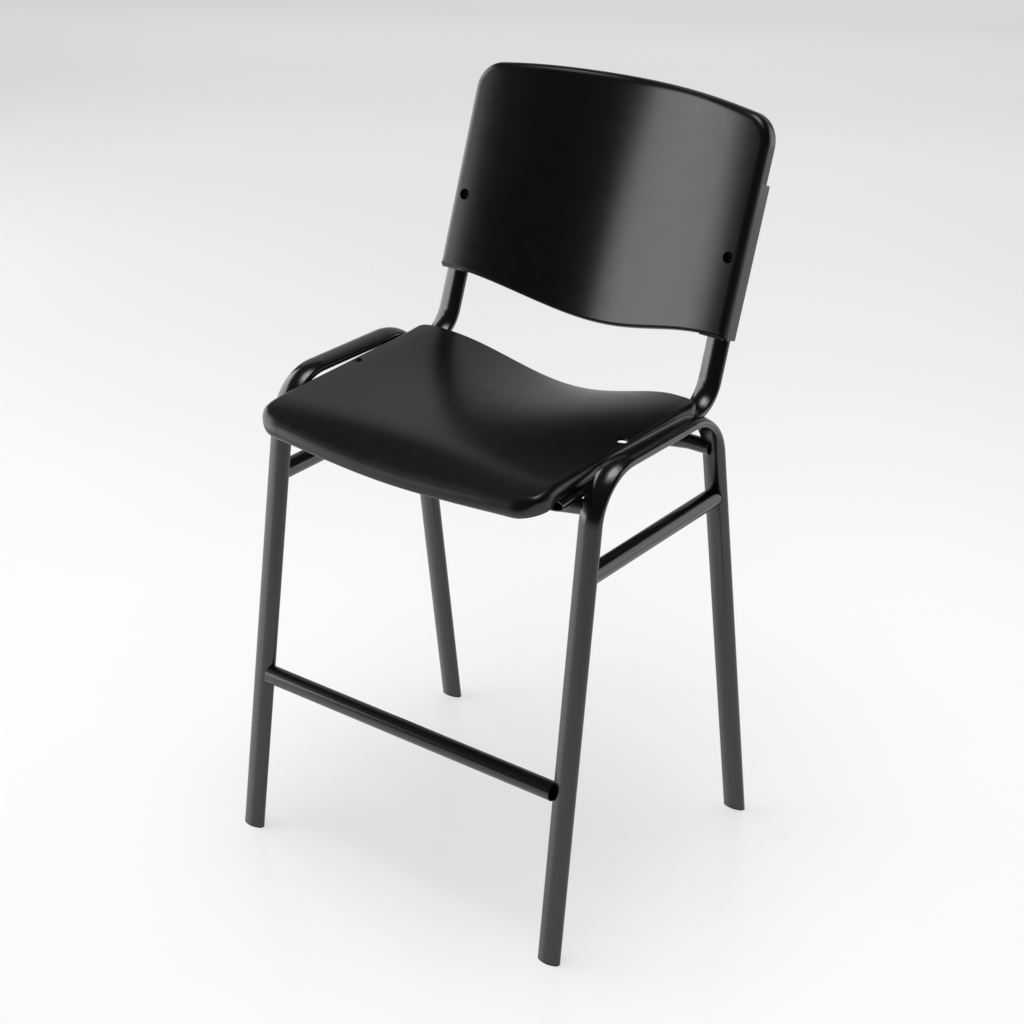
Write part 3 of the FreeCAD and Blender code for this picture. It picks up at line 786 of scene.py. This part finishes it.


# painted light: the floor glows by emission, and the glow changes softly from left to right and from near to far as a
# painted falloff of the studio light
across = ramp(nt, along((0.796, 0.605, 0.0), -2.0, 2.0), [((u + 2.0) / 4.0, (e, e, e)) for u, e in FLOOR_ACROSS])
away = ramp(nt, along((-0.605, 0.796, 0.0), -2.0, 6.0), [((g + 2.0) / 8.0, (e, e, e)) for g, e in FLOOR_AWAY])
fade = ramp(nt, along((-0.605, 0.796, 0.0), -2.0, 6.0), [((g + 2.0) / 8.0, (e, e, e)) for g, e in FLOOR_FADE])
for socket in (across, away, fade):
    socket.node.color_ramp.interpolation = "B_SPLINE"
faded = nt.nodes.new("ShaderNodeVectorMath")
faded.operation = "MULTIPLY"
nt.links.new(across, faded.inputs[0])
nt.links.new(fade, faded.inputs[1])
glow = nt.nodes.new("ShaderNodeVectorMath")
glow.operation = "ADD"
nt.links.new(faded.outputs["Vector"], glow.inputs[0])
nt.links.new(away, glow.inputs[1])
nt.links.new(glow.outputs["Vector"], b.inputs["Emission Color"])
b.inputs["Emission Strength"].default_value = 1.0
tone = noise(nt, co, 1.3, 2.0)
nt.links.new(ramp(nt, tone, [(0.3, (0.49, 0.49, 0.49)), (0.7, (0.51, 0.51, 0.51))]), b.inputs["Base Color"])
b.inputs["Roughness"].default_value = 0.22
b.inputs["Specular IOR Level"].default_value = 0.35
me.materials.append(m)


def softbox(name, az, el, dist, w, h, radiance, aim=(0.0, 0.0, 0.6), shape="RECTANGLE"):
    """Area light seen from the chair in direction az, el (az 0 is the chair's front, + its right)."""
    a, e = math.radians(az), math.radians(el)
    d = Vector((math.sin(a) * math.cos(e), -math.cos(a) * math.cos(e), math.sin(e)))
    data = bpy.data.lights.new(name, "AREA")
    data.shape = shape
    data.size, data.size_y = w, h
    data.energy = radiance * math.pi * w * h * (math.pi / 4.0 if shape == "ELLIPSE" else 1.0)
    o = bpy.data.objects.new(name, data)
    o.location = Vector(aim) + d * dist
    o.rotation_euler = d.to_track_quat("Z", "Y").to_euler()
    o.visible_camera = False
    scene.collection.objects.link(o)
    return o


softbox("left", -80.0, 13.0, 3.2, 3.1, 2.6, 3.1)
softbox("left_front", -46.6, 6.0, 3.2, 1.03, 1.6, 3.4)
softbox("top", 0.0, 88.0, 3.2, 1.3, 1.3, 3.8, shape="ELLIPSE")
softbox("top_rim", 0.0, 88.0, 3.25, 2.2, 2.2, 1.7, shape="ELLIPSE")
fill = softbox("top_fill", 0.0, 88.0, 3.3, 3.2, 3.2, 1.6)
fill.visible_glossy = False
softbox("back_left", -150.0, 20.0, 4.2, 5.0, 3.6, 0.36)
right = softbox("right", 142.0, 10.0, 3.4, 3.2, 2.2, 1.45)
right.visible_diffuse = False

# a dim room around the lights; the backdrop itself is pale
world = bpy.data.worlds.new("studio")
scene.world = world
world.use_nodes = True
wt = world.node_tree
bg = wt.nodes["Background"]
bg.inputs["Color"].default_value = (1.0, 1.0, 1.0, 1.0)
bg.inputs["Strength"].default_value = 0.04
pale = wt.nodes.new("ShaderNodeBackground")
pale.inputs["Color"].default_value = (1.0, 1.0, 1.0, 1.0)
pale.inputs["Strength"].default_value = 0.62
path = wt.nodes.new("ShaderNodeLightPath")
both = wt.nodes.new("ShaderNodeMixShader")
wt.links.new(path.outputs["Is Camera Ray"], both.inputs[0])
wt.links.new(bg.outputs["Background"], both.inputs[1])
wt.links.new(pale.outputs["Background"], both.inputs[2])
wt.links.new(both.outputs["Shader"], wt.nodes["World Output"].inputs["Surface"])

scene.view_settings.view_transform = "Standard"
scene.view_settings.look = "None"
scene.view_settings.exposure = 0.0
scene.view_settings.gamma = 1.0

# ---------------------------------------------------------------------- camera
cam = bpy.data.cameras.new("camera")
cam.sensor_width = 36.0
cam.sensor_fit = "HORIZONTAL"
cam.lens = 78.06
cam.dof.use_dof = False
camera = bpy.data.objects.new("camera", cam)
camera.location = (1.61166, -2.082862 - Y0 * MM, 1.772737)
camera.rotation_euler = (math.radians(90.0 - 26.194), 0.0, math.radians(37.238))
scene.collection.objects.link(camera)
scene.camera = camera
